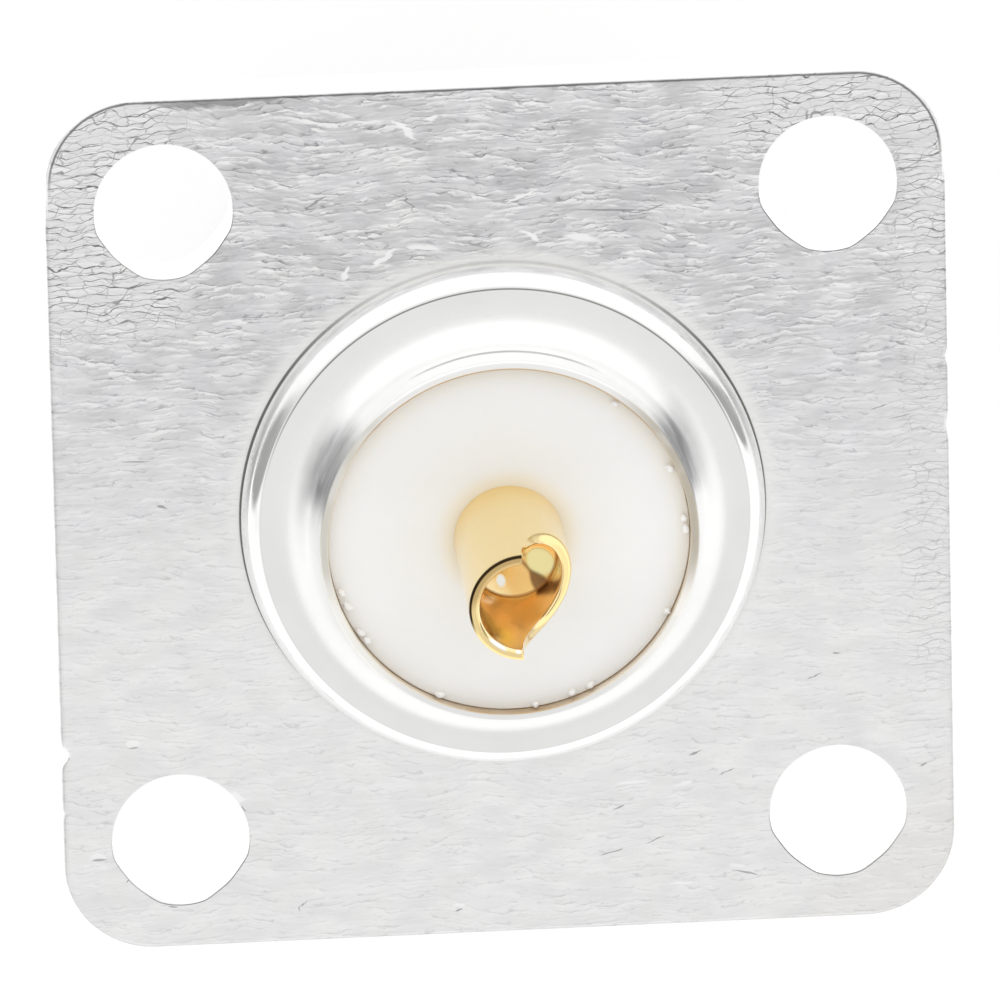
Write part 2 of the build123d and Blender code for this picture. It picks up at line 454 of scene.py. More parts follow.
def body_material():
    """Bright silver plating: fine turning lines, dull film, brown tarnish inside the collar; painted light and shade on
    the root's hollow and the collar's lip, painted shade in the groove, at the foot, on the collar's inner edge and in
    the thread's roots, and painted dark reflections on the collar and its root.
    """
    material, g, shader = new_material("body_metal")
    place = place_mm(g)
    x, y, z = g.split(place)
    radius = g.math("SQRT", g.math("ADD", g.math("MULTIPLY", x, x), g.math("MULTIPLY", y, y)))
    film = g.noise(place, 0.55, 3.0, 0.6)
    turning = g.noise(g.join(radius, z, 0.0), 22.0, 1.0, 0.6)
    faced = g.math("MULTIPLY", g.smooth(radius, COLLAR_R + ROOT_R - 0.1, COLLAR_R + ROOT_R), g.smooth(z, 1.0, 1.2))
    hollow = g.math("MULTIPLY", g.smooth(radius, 6.6, 5.8), g.smooth(z, PLATE_BACK + 0.7, PLATE_BACK + 0.9))
    clean = g.mix(g.smooth(film, 0.35, 0.7), (0.96, 0.96, 0.95, 1), (0.93, 0.93, 0.92, 1))
    # Painted light and shade: the root's hollow is near white towards -y and greyer towards +y.
    clean = g.mix(hollow, clean, g.mix(g.smooth(y, -1.0, 3.0), (1.0, 1.0, 0.99, 1), (0.90, 0.90, 0.885, 1)))
    inside = g.math("MULTIPLY", g.smooth(radius, BORE_R + 0.012, BORE_R + 0.05, 1.0, 0.0), g.smooth(z, 3.0, 3.3))
    low = g.math("MAXIMUM", g.smooth(z, INSULATOR_TOP + 0.20, INSULATOR_TOP + 0.08), g.smooth(y, 4.2, 4.9))
    stained = g.mix(low, (0.93, 0.87, 0.78, 1), (0.66, 0.52, 0.36, 1))
    patchy = g.math("MULTIPLY", inside, g.smooth(g.noise(place, 1.3, 3.0), 0.2, 0.6, 0.7, 1.0))
    tint = g.mix(patchy, clean, stained)
    # Painted shade and light on the collar's lip: at its sides it is beige-grey towards -y and darker towards -x, and
    # it is near white towards +y.
    lip = g.math("MULTIPLY", g.smooth(z, COLLAR_TOP - 0.05, COLLAR_TOP - 0.01), g.smooth(g.math("ABSOLUTE", x), 2.6, 4.4))
    lip = g.math("MULTIPLY", lip, g.smooth(g.noise(place, 0.9, 1.0), 0.35, 0.55, 0.7, 1.0))
    lip_side_shade = g.mix(g.smooth(x, 1.0, -1.0), (0.75, 0.725, 0.66, 1), (0.60, 0.55, 0.46, 1))
    tint = g.mix(lip, tint, g.mix(g.smooth(y, 0.4, 2.0), lip_side_shade, (1.0, 0.98, 0.94, 1)))
    # Painted shade: a brown line on the inner edge of the collar's rim, towards -y.
    inner = g.math("MULTIPLY", g.smooth(radius, BORE_R + 0.055, BORE_R + 0.035), g.smooth(z, COLLAR_TOP - 0.09, COLLAR_TOP - 0.05))
    tint = g.mix(g.math("MULTIPLY", inner, g.smooth(y, -2.4, -3.6, 0.0, 0.75)), tint, (0.52, 0.34, 0.18, 1))
    # Painted shade in a fine groove at the edge of the faced ring, stronger towards -y.
    groove_shade = g.math("MULTIPLY", g.band(radius, FACE_R - 0.012, 0.012, 0.02), g.smooth(z, 2.2, 2.3))
    toward = g.smooth(y, -1.0, -4.6, 0.03, 0.75)
    tint = g.mix(g.math("MULTIPLY", groove_shade, toward), tint, (0.12, 0.11, 0.10, 1))
    # Painted shadow: a near-black line on the head just above the plate, strongest at the sides.
    foot_shadow = g.math("MULTIPLY", g.smooth(z, PLATE_BACK + 0.02, PLATE_BACK + 0.05, 1.0, 0.0), g.smooth(z, 1.0, 1.2))
    foot_shadow = g.math("MULTIPLY", foot_shadow, g.smooth(g.math("ABSOLUTE", x), 3.0, 6.3, 0.12, 0.9))
    tint = g.mix(foot_shadow, tint, (0.05, 0.045, 0.04, 1))
    # Painted dark reflections: a streaky grey band round the collar, towards -y, and a grey patch on the root.
    collar_band_reflection = g.math("MULTIPLY", g.band(z, COLLAR_TOP - 0.83, 0.03, 0.06), g.smooth(radius, COLLAR_R - 0.06, COLLAR_R - 0.03))
    round_way = g.math("MULTIPLY", g.math("ARCTAN2", y, x), 2.2)
    streaks = g.noise(g.join(g.math("MULTIPLY", radius, 2.6), g.math("MULTIPLY", z, 2.6), round_way), 1.0, 2.0, 0.55)
    collar_band_reflection = g.math("MULTIPLY", collar_band_reflection, g.smooth(streaks, 0.35, 0.60, 0.4, 1.0))
    collar_band_reflection = g.math("MULTIPLY", collar_band_reflection, g.smooth(y, -4.4, -5.0, 0.0, 0.75))
    root_patch_reflection = g.math("MULTIPLY", g.smooth(radius, 5.75, 5.40), g.smooth(radius, COLLAR_R - 0.06, COLLAR_R - 0.03))
    root_patch_reflection = g.math("MULTIPLY", root_patch_reflection, g.math("MULTIPLY", g.band(y, -2.1, 0.6, 0.9), g.smooth(z, 2.3, 2.4)))
    root_patch_reflection = g.math("MULTIPLY", root_patch_reflection, g.smooth(streaks, 0.35, 0.6, 0.45, 0.9))
    tint = g.mix(g.math("MAXIMUM", collar_band_reflection, root_patch_reflection), tint, (0.36, 0.36, 0.37, 1))
    front = g.smooth(z, 0.02, -0.02)
    # Painted shade in the roots of the thread on the front of the barrel.
    thread_root_shade = g.smooth(radius, THREAD_R - 0.15, THREAD_R - 0.6, 0.0, 0.55)
    plain = g.mix(g.math("MULTIPLY", thread_root_shade, g.smooth(radius, 6.9, 7.1)), (0.74, 0.74, 0.735, 1), (0.34, 0.33, 0.31, 1))
    plain = g.mix(g.smooth(film, 0.5, 0.75, 0.0, 0.35), plain, (0.56, 0.55, 0.52, 1))
    tint = g.mix(front, tint, plain)
    g.put(shader.inputs["Base Color"], tint)
    shader.inputs["Metallic"].default_value = 1.0
    rough = g.smooth(g.noise(place, 2.4, 3.0, 0.65), 0.3, 0.75, 0.05, 0.11)
    rough = g.math("MULTIPLY_ADD", hollow, 0.28, rough)
    bead = g.math("MULTIPLY", g.smooth(radius, FACE_R + 0.02, FACE_R + 0.06), g.smooth(z, PLATE_BACK, PLATE_BACK + 0.1))
    rough = g.math("MULTIPLY_ADD", bead, g.smooth(streaks, 0.38, 0.60, 0.0, 0.16), rough)
    rough = g.math("MULTIPLY_ADD", lip, g.smooth(y, 0.2, 2.0, 0.0, 0.35), rough)
    g.put(shader.inputs["Roughness"], rough)
    lines = g.bump(g.math("MULTIPLY", turning, faced), 0.3, 0.0012)
    dents = g.bump(g.noise(place, 1.6, 1.0), 0.3, 0.005, lines)
    g.put(shader.inputs["Normal"], dents)
    return material


# Gold contact

def scoop_height(x):
    """Height of the scoop's cut over a point of the contact, no higher than its end."""
    reach = SCOOP_R ** 2 - (x - SCOOP_PAST_AXIS + SCOOP_R) ** 2
    return CUP_END - math.sqrt(reach) if x < SCOOP_PAST_AXIS and reach > 0 else CUP_END


def cup_angles():
    """Angles round the contact, closer together where the scoop's edge is steep."""
    angles = set(math.radians(2.0 * k) for k in range(180))
    middle = (CONTACT_R + CUP_R) / 2
    for k in range(1, 26):
        drop = 2.2 * (k / 26) ** 1.3
        x = SCOOP_PAST_AXIS - SCOOP_R + math.sqrt(SCOOP_R ** 2 - drop ** 2)
        steep = math.acos(max(-1.0, x / middle))
        angles.update((steep, 2 * math.pi - steep))
    ordered = sorted(angles)
    return [a for a, n in zip(ordered, ordered[1:] + [7.0]) if n - a > math.radians(0.05)]


def rim_points(angle):
    """Cross-section of the cup's wall at an angle, up the outside, over the rim and down the bore."""
    outer_round = 0.13
    inner_round = 0.17

    def corner(radius, inward, size):
        top = scoop_height(radius * math.cos(angle))
        flat = scoop_height(inward * math.cos(angle))
        down = Vector((radius, top - size))
        peak = Vector((radius, top))
        level = Vector((inward, flat))
        return [down.lerp(peak, t).lerp(peak.lerp(level, t), t) for t in (0, 0.2, 0.4, 0.6, 0.8, 1.0)]

    outside = corner(CONTACT_R, CONTACT_R - outer_round, outer_round)
    inside = corner(CUP_R, CUP_R + inner_round, inner_round)
    return outside, inside[::-1]


def make_contact(material):
    """Contact with its scooped and drilled solder cup, shoulder and four sprung fingers."""
    angles = cup_angles()
    shoulder_bottom = INSULATOR_JOINT - SHOULDER_LENGTH
    slot_end = SOCKET_TIP + SLOT_LENGTH
    cup_bottom = CUP_END - CUP_DEPTH
    lowest_cut = scoop_height(-CONTACT_R)
    bm = bmesh.new()
    shank = [(0, SOCKET_TIP + SOCKET_DEPTH)]
    shank += straight((0.02, SOCKET_TIP + SOCKET_DEPTH), (SOCKET_R, SOCKET_TIP + SOCKET_DEPTH))
    shank += straight((SOCKET_R, SOCKET_TIP + SOCKET_DEPTH), (SOCKET_R, slot_end))
    shank += straight((SOCKET_R, slot_end), (CONTACT_R, slot_end))
    shank += straight((CONTACT_R, slot_end), (CONTACT_R, shoulder_bottom), 2)
    shank += straight((CONTACT_R, shoulder_bottom), (SHOULDER_R, shoulder_bottom))
    shank += straight((SHOULDER_R, shoulder_bottom), (SHOULDER_R, INSULATOR_JOINT))
    shank += straight((SHOULDER_R, INSULATOR_JOINT), (CONTACT_R, INSULATOR_JOINT))
    shank += straight((CONTACT_R, INSULATOR_JOINT), (CONTACT_R, lowest_cut - 0.4), 6)
    rows = lathe(bm, shank, angles, closed=False)
    sections = [rim_points(angle) for angle in angles]
    wall = []
    for k in range(6):
        wall.append([Vector((CONTACT_R, lowest_cut - 0.4)).lerp(s[0][0], k / 6) for s in sections])
    for part in (0, 1):
        for k in range(6):
            wall.append([s[part][k] for s in sections])
        if part == 0:
            for share in (0.25, 0.5, 0.75):
                blend = []
                for angle in angles:
                    r = CONTACT_R - 0.13 + (CUP_R + 0.17 - CONTACT_R + 0.13) * share
                    blend.append(Vector((r, scoop_height(r * math.cos(angle)))))
                wall.append(blend)
    for k in range(1, 8):
        wall.append([s[1][-1].lerp(Vector((CUP_R, cup_bottom + 0.03)), k / 7) for s in sections])
    upper = []
    for row in wall:
        made = []
        for angle, point in zip(angles, row):
            made.append(bm.verts.new((
                point.x * math.cos(angle) * MM, point.x * math.sin(angle) * MM, point.y * MM
            )))
        upper.append(made)
    skin(bm, [rows[-1]] + upper, closed=False)
    drill_depth = CUP_R / math.tan(DRILL_ANGLE)
    cone = straight((CUP_R - 0.025, cup_bottom - 0.015), (0.02, cup_bottom - drill_depth + 0.012), 5)
    cone += [(0, cup_bottom - drill_depth)]
    lower = lathe(bm, cone, angles, closed=False)
    skin(bm, [upper[-1], lower[0]], closed=False)
    for quarter in range(4):
        make_finger(bm, quarter * math.pi / 2, slot_end)
    return finish_piece(mesh_from(bm, "contact"), "gold_contact", "centre_contact", material)


def make_finger(bm, turn, slot_end):
    """One sprung finger of the socket, between two parallel slots, as a closed shell."""
    tip = 0.2
    mouth = 0.18
    steps = 18
    outline = straight((CONTACT_R, slot_end), (CONTACT_R, SOCKET_TIP + tip), 2)
    outline += straight((CONTACT_R, SOCKET_TIP + tip), (CONTACT_R - tip, SOCKET_TIP))
    outline += straight((CONTACT_R - tip, SOCKET_TIP), (SOCKET_R + mouth, SOCKET_TIP))
    outline += straight((SOCKET_R + mouth, SOCKET_TIP), (SOCKET_R, SOCKET_TIP + mouth))
    outline += straight((SOCKET_R, SOCKET_TIP + mouth), (SOCKET_R, slot_end), 2)
    outline += [(SOCKET_R, slot_end)]
    rows = []
    for step in range(steps + 1):
        row = []
        for radius, height in outline:
            edge = math.asin(SLOT_HALF / radius)
            angle = turn + edge + (math.pi / 2 - 2 * edge) * step / steps
            row.append(bm.verts.new((radius * math.cos(angle) * MM, radius * math.sin(angle) * MM, height * MM)))
        rows.append(row)
    skin(bm, rows, closed=False)
    bm.faces.new(rows[0])
    bm.faces.new(rows[-1])


# Painted highlights in the cup: place across X and Y, length and width in millimetres, slope
GOLD_HIGHLIGHTS = [
    (0.33, 0.79, 0.32, 0.25, 75),
    (0.76, 1.02, 0.66, 0.14, 38),
    (0.20, 1.26, 0.16, 0.12, 0),
]


def contact_material():
    """Polished gold plating with drawing marks; painted highlights, painted shade and painted dark reflections in the
    cup, and a painted dark reflection on the cup's rim.
    """
    material, g, shader = new_material("contact_gold")
    place = place_mm(g)
    x, y, z = g.split(place)
    radius = g.math("SQRT", g.math("ADD", g.math("MULTIPLY", x, x), g.math("MULTIPLY", y, y)))
    cloud = g.noise(place, 1.4, 2.0, 0.6)
    tint = g.mix(g.smooth(cloud, 0.3, 0.7), (1.0, 0.80, 0.40, 1), (1.0, 0.785, 0.38, 1))
    rim = g.math("MULTIPLY", g.smooth(radius, CONTACT_R - 0.02, CONTACT_R - 0.05), g.smooth(z, 4.0, 4.2))
    tint = g.mix(rim, tint, (0.99, 0.77, 0.37, 1))
    cup = g.math("MULTIPLY", g.smooth(radius, CUP_R + 0.05, CUP_R + 0.01), g.smooth(z, 3.0, 3.2))
    tint = g.mix(cup, tint, (1.0, 0.80, 0.55, 1))
    cup_bottom = CUP_END - CUP_DEPTH
    floor = g.math("MULTIPLY", cup, g.smooth(z, cup_bottom + 0.05, cup_bottom, 0.0, 1.0))
    # Painted dark reflection: a soft brown wedge across the drilled floor of the cup.
    along = g.math("MULTIPLY_ADD", x, -0.65, g.math("MULTIPLY", y, 0.76))
    beside = g.math("ABSOLUTE", g.math("MULTIPLY_ADD", x, 0.76, g.math("MULTIPLY", y, 0.65)))
    wedge_reflection = g.math("SUBTRACT", beside, g.math("MULTIPLY_ADD", g.noise(place, 1.8, 1.0), 0.10, g.smooth(along, 0.65, 1.15, -0.03, 0.16)))
    wedge_reflection = g.math("MULTIPLY", g.smooth(wedge_reflection, -0.05, 0.09, 1.0, 0.0), g.smooth(z, cup_bottom + 0.7, cup_bottom + 0.2))
    wedge_reflection = g.math("MULTIPLY", g.math("MULTIPLY", wedge_reflection, cup), g.smooth(along, 0.1, 0.3))
    # Painted highlight: a bright pale blob on the cup's drilled floor.
    glint = g.vector("LENGTH", g.join(g.math("ADD", x, 0.76), g.math("ADD", y, -0.28), 0.0), (0, 0, 0), "Value")
    glint = g.math("MULTIPLY", g.smooth(glint, 0.26, 0.46, 1.0, 0.0), floor)
    # Painted shade: the cup's drilled floor is darker and deeper gold.
    tint = g.mix(g.math("MULTIPLY", floor, 0.85), tint, (0.88, 0.68, 0.34, 1))
    tint = g.mix(glint, tint, (1.0, 0.87, 0.42, 1))
    tint = g.mix(g.math("MULTIPLY", wedge_reflection, 0.88), tint, (0.20, 0.11, 0.06, 1))
    # A dark brown patch on the cup's inner wall.
    dark_patch = g.vector("LENGTH", g.join(
        g.math("MULTIPLY", g.math("SUBTRACT", x, 0.93), 2.4), g.math("MULTIPLY", g.math("SUBTRACT", y, 0.75), 2.4),
        g.math("MULTIPLY", g.math("SUBTRACT", z, 8.3), 0.8)), (0, 0, 0), "Value")
    dark_patch = g.math("MULTIPLY", g.smooth(dark_patch, 0.5, 1.0, 1.0, 0.0), cup)
    tint = g.mix(g.math("MULTIPLY", dark_patch, 0.55), tint, (0.30, 0.18, 0.10, 1))
    # Painted highlight: a bright yellow streak high on the cup's inner wall towards +x.
    wall_highlight = g.math("MULTIPLY", g.math("MULTIPLY", cup, g.smooth(x, 0.1, 0.6)), g.smooth(z, 7.2, 8.6, 0.0, 0.6))
    tint = g.mix(wall_highlight, tint, (1.0, 0.93, 0.48, 1))
    # Painted shade along the crease between the cup's wall and its drilled floor.
    crease_shade = g.math("MULTIPLY", g.band(z, cup_bottom, 0.025, 0.03), cup)
    tint = g.mix(g.math("MULTIPLY", crease_shade, 0.6), tint, (0.30, 0.16, 0.08, 1))
    # Painted dark reflection: a near-black line on the outer edge of the cup's rim, on the side facing +x and -y.
    edge = g.math("MULTIPLY", g.smooth(radius, CONTACT_R - 0.085, CONTACT_R - 0.055), g.smooth(z, CUP_END - 0.12, CUP_END - 0.07))
    facing = g.math("SUBTRACT", g.math("MULTIPLY", x, 0.6), g.math("MULTIPLY", y, 0.8))
    rim_dark_reflection = g.math("MULTIPLY", edge, g.smooth(facing, 0.1, 0.7))
    # Painted shade: the cup's rim and the top of its bore turn deeper gold on the side facing +x and -y.
    dull = g.math("MULTIPLY", g.math("MULTIPLY", rim, g.smooth(z, CUP_END - 0.5, CUP_END - 0.2)), g.smooth(facing, 0.75, 1.15))
    tint = g.mix(dull, tint, (0.66, 0.46, 0.20, 1))
    tint = g.mix(rim_dark_reflection, tint, (0.035, 0.02, 0.008, 1))
    # Painted highlights: near-white spots on the cup's floor and near its rim.
    highlight_spots = marks_mask(g, x, y, GOLD_HIGHLIGHTS)
    highlight_spots = g.math("MULTIPLY", highlight_spots, g.math("MAXIMUM", floor, g.smooth(z, CUP_END - 0.7, CUP_END - 0.5)))
    tint = g.mix(highlight_spots, tint, (1.0, 0.98, 0.90, 1))
    g.put(shader.inputs["Base Color"], tint)
    shader.inputs["Metallic"].default_value = 1.0
    rough = g.smooth(g.noise(place, 5.0, 2.0, 0.6), 0.3, 0.75, 0.07, 0.15)
    # The painted highlights are smoother, and their normal is turned up and towards -y so that they mirror the sky.
    glint_spots = g.math("MAXIMUM", glint, g.math("MULTIPLY", highlight_spots, floor))
    rough = g.math("MULTIPLY_ADD", cup, 0.08, rough)
    g.put(shader.inputs["Roughness"], g.math("MULTIPLY_ADD", glint_spots, -0.12, rough))
    marks = g.noise(g.vector("MULTIPLY", place, (1.0, 1.0, 4.0)), 2.0, 2.0, 0.6)
    level = g.add("ShaderNodeVectorTransform", {0: (-0.02, -0.20, 0.98)}, vector_type="NORMAL", convert_from="OBJECT", convert_to="WORLD")
    glint_normal = g.add("ShaderNodeMix", {0: glint_spots, 4: g.bump(marks, 0.2, 0.004), 5: level.outputs[0]}, data_type="VECTOR")
    g.put(shader.inputs["Normal"], glint_normal.outputs[1])
    return material


# Insulators

def make_rear_insulator(material):
    """White disc in the collar, with a softly broken edge and a slightly uneven face."""
    bm = bmesh.new()
    angles = even_angles(160)
    edge = 0.025
    hole = CONTACT_R
    top_r = BORE_R - 0.004
    outline = straight((hole, INSULATOR_JOINT), (INSULATOR_R, INSULATOR_JOINT))
    outline += straight((INSULATOR_R, INSULATOR_JOINT), (INSULATOR_R, INSULATOR_TOP - 0.8), 2)
    outline += straight((top_r, INSULATOR_TOP - 0.7), (top_r, INSULATOR_TOP - edge), 2)
    outline += arc((top_r - edge, INSULATOR_TOP - edge), edge, 0, 90, 5)
    outline += straight((top_r - edge, INSULATOR_TOP), (hole, INSULATOR_TOP), 14)
    outline += straight((hole, INSULATOR_TOP), (hole, INSULATOR_JOINT), 2)

    def shape(radius, height, angle):
        if height < INSULATOR_TOP - 0.3:
            return radius, height
        spot = Vector((radius * math.cos(angle), radius * math.sin(angle), 3.0))
        sink = 0.012 * (1 + noise.noise(spot * 0.9)) + 0.004 * (1 + noise.noise(spot * 4.0))
        nibble = 0.003 * (1 + noise.noise(spot * 2.5)) if radius > 4.5 else 0.0
        return radius - nibble, height - sink

    lathe(bm, outline, angles, shape)
    return finish_piece(mesh_from(bm, "rear_disc"), "white_disc", "rear_insulator", material)


# Burrs left on the edge of the insulator: the angle in degrees and the length in millimetres
BURRS = [
    (14.6, 0.26), (19.6, 0.32), (29.7, 0.28), (33.4, 0.26), (63.9, 0.30), (96.3, 0.18), (108.4, 0.24),
    (114.8, 0.24), (151.0, 0.16), (179.0, 0.30), (183.5, 0.20), (201.0, 0.26), (230.7, 0.22),
]


def make_burrs(material):
    """Small curls of plastic standing on the edge of the rear insulator."""
    draw = random.Random(5)
    bm = bmesh.new()
    steps = 7
    for degrees, size in BURRS:
        angle = math.radians(degrees)
        reach = BORE_R - draw.uniform(0.11, 0.13)
        spot = Vector((math.cos(angle) * reach, math.sin(angle) * reach, INSULATOR_TOP - 0.005))
        heading = angle + math.pi / 2 + draw.uniform(-0.2, 0.3)
        curl = draw.uniform(0.2, 1.2)
        rows = []
        for k in range(steps + 1):
            share = k / steps
            turned = heading + curl * share
            ahead = Vector((math.cos(turned), math.sin(turned), 0.0))
            aside = Vector((-ahead.y, ahead.x, 0.0))
            half = 0.098 * math.sin(math.pi * (0.12 + 0.76 * share))
            lift = 0.07 + 0.05 * math.sin(math.pi * share)
            row = []
            for corner in range(10):
                turn = math.pi * corner / 5
                off = aside * math.cos(turn) * half + Vector((0, 0, 1)) * math.sin(turn) * half * 0.8
                row.append(bm.verts.new((spot + off + Vector((0, 0, lift))) * MM))
            rows.append(row)
            spot = spot + ahead * size / steps
        skin(bm, rows, closed=False)
        bm.faces.new(rows[0])
        bm.faces.new(rows[-1])
    return finish_piece(mesh_from(bm, "burrs"), "insulator_burrs", None, material, 60)


def insulator_material():
    """Waxy white fluoropolymer, with painted warm light at its edge, stronger towards -y and -x, and painted warm
    reflected light beside the gold.
    """
    material, g, shader = new_material("insulator")
    place = place_mm(g)
    x, y, z = g.split(place)
    radius = g.math("SQRT", g.math("ADD", g.math("MULTIPLY", x, x), g.math("MULTIPLY", y, y)))
    cloud = g.noise(place, 0.8, 2.0, 0.6)
    tint = g.mix(g.smooth(cloud, 0.3, 0.7), (0.985, 0.99, 0.995, 1), (0.97, 0.975, 0.975, 1))
    # Painted light: a cream tint near the disc's edge, stronger towards -y and -x.
    rim = g.smooth(radius, 4.2, 4.95, 0.0, g.smooth(g.math("MULTIPLY_ADD", x, 0.5, y), 2.5, -2.0, 0.2, 0.8))
    tint = g.mix(rim, tint, (0.96, 0.92, 0.84, 1))
    # Painted reflected light: a warm tint on the disc round the gold contact.
    near = g.smooth(radius, CONTACT_R + 0.02, CONTACT_R + 0.62, 0.62, 0.0)
    tint = g.mix(near, tint, (0.98, 0.86, 0.66, 1))
    tint = g.mix(g.smooth(z, INSULATOR_TOP + 0.01, INSULATOR_TOP + 0.03), tint, WHITE)
    g.put(shader.inputs["Base Color"], tint)
    g.put(shader.inputs["Roughness"], g.smooth(g.noise(place, 3.0, 2.0), 0.3, 0.7, 0.38, 0.55))
    shader.inputs["Subsurface Weight"].default_value = 0.15
    shader.inputs["Subsurface Radius"].default_value = (1.0, 0.85, 0.7)
    shader.inputs["Subsurface Scale"].default_value = 0.4 * MM
    skived = g.noise(g.join(g.math("MULTIPLY", radius, 6.0), z, 0.0), 4.0, 3.0)
    fine = g.bump(g.noise(place, 14.0, 3.0, 0.6), 0.3, 0.01)
    g.put(shader.inputs["Normal"], g.bump(skived, 0.2, 0.006, fine))
    return material


# Flange plate

def rounded_square(half, corner, steps):
    """Points round a square with round corners."""
    points = []
    for quarter in range(4):
        turn = quarter * math.pi / 2
        for k in range(steps + 1):
            angle = turn + math.pi / 2 * k / steps
            cx = (half - corner) * (1 if quarter in (0, 3) else -1)
            cy = (half - corner) * (1 if quarter in (0, 1) else -1)
            points.append(Vector((cx + corner * math.cos(angle), cy + corner * math.sin(angle))))
    dense = []
    for start, end in zip(points, points[1:] + points[:1]):
        pieces = max(1, round((end - start).length / 0.12))
        dense += [start.lerp(end, k / pieces) for k in range(pieces)]
    return dense


def rim_break(angle, lower):
    """How far the worn outline of a screw hole lies outside its circle: most below, less at two flats."""
    down = math.sin(angle)
    slant = (abs(math.cos(angle)) * down - FLAT_FROM) / (0.5 - FLAT_FROM)
    share = max(0.0, min(1.0, slant))
    flat = share * share * (3 - 2 * share)
    width = RIM_BREAK + RIM_SAG * max(down, 0.0) - RIM_FLAT * flat
    return width - RIM_SHIFT * max(-down, 0.0) if lower else width


def hole_loop(centre, radius, count, rim):
    """Points round a hole, with or without the worn outline of a screw hole."""
    points = []
    for angle in even_angles(count):
        r = radius + (rim_break(angle, centre[1] > 0) if rim else 0.0)
        points.append(Vector((centre[0] + r * math.cos(angle), centre[1] + r * math.sin(angle))))
    return points


def hole_reach(hole, x, y):
    """Radius of a hole's loop in the direction of a point."""
    centre, radius, _, rim = hole
    angle = math.atan2(y - centre[1], x - centre[0])
    return radius + (rim_break(angle, centre[1] > 0) if rim else 0.0)


def sheet_triangles(outer, holes, spacing, seed):
    """Fills the area between an outer loop and round holes with near-even triangles."""
    draw = random.Random(seed)
    points = list(outer)
    edges = [(k, (k + 1) % len(outer)) for k in range(len(outer))]
    for hole in holes:
        first, count = len(points), hole[2]
        points += hole_loop(*hole)
        edges += [(first + k, first + (k + 1) % count) for k in range(count)]
    gap = spacing * 0.6
    inset = PLATE_HALF - max(p.x for p in outer)
    count = int(2 * PLATE_HALF / spacing)
    for row in range(count + 1):
        for column in range(count + 1):
            x = -PLATE_HALF + spacing * (column + 0.5 * (row % 2)) + draw.uniform(-0.2, 0.2) * spacing
            y = -PLATE_HALF + spacing * row + draw.uniform(-0.2, 0.2) * spacing
            if not inside_square(x, y, inset + gap + nick(Vector((x, y)))):
                continue
            if all(math.hypot(x - h[0][0], y - h[0][1]) > hole_reach(h, x, y) + gap for h in holes):
                points.append(Vector((x, y)))
    verts, _, faces, *_ = delaunay_2d_cdt(points, edges, [], 0, 1e-6)
    kept = []
    for face in faces:
        middle = sum((verts[v] for v in face), Vector((0, 0))) / 3
        in_plate = inside_square(middle.x, middle.y, inset + nick(middle) - 0.01)
        if in_plate and all((middle - Vector(h[0])).length > hole_reach(h, *middle) - 0.002 for h in holes):
            kept.append(face)
    return verts, kept


def inside_square(x, y, inset):
    """Whether a point is in the plate's outline, moved in by the inset."""
    dx = abs(x) - (PLATE_HALF - CORNER_R)
    dy = abs(y) - (PLATE_HALF - CORNER_R)
    if dx > 0 and dy > 0:
        return math.hypot(dx, dy) < CORNER_R - inset
    return max(abs(x), abs(y)) < PLATE_HALF - inset


def relief(x, y):
    """How far the dull plate's back lies under its highest point, in millimetres."""
    spot = Vector((x * 0.45, y * 1.1, 0.0))
    slow = 1 + noise.noise(spot)
    quick = 1 + noise.noise(Vector((x * 1.6, y * 4.0, 5.0)))
    return 0.006 * slow + 0.003 * quick


# Worn outline of a screw hole: how far out, what it sags below, what its flats take, from where, its shift
RIM_BREAK = 0.10
RIM_SAG = 0.09
RIM_FLAT = 0.085
FLAT_FROM = 0.26
RIM_SHIFT = 0.06

# Nicks in the plate's outline: the place in X and Y, how deep and how wide, in millimetres
NICKS = [(12.4, 6.64, 0.19, 0.20), (12.4, 8.36, 0.05, 0.10), (-12.4, -3.90, 0.07, 0.16), (-12.4, -1.9, 0.06, 0.30)]


def nick(point):
    """How far a nick moves a point of the plate's outline inward."""
    depth = 0.0
    for x, y, deep, wide in NICKS:
        if abs(point.x - x) < 1.0:
            away = (point.y - y) / wide
            depth += deep * math.exp(-away * away)
    return depth


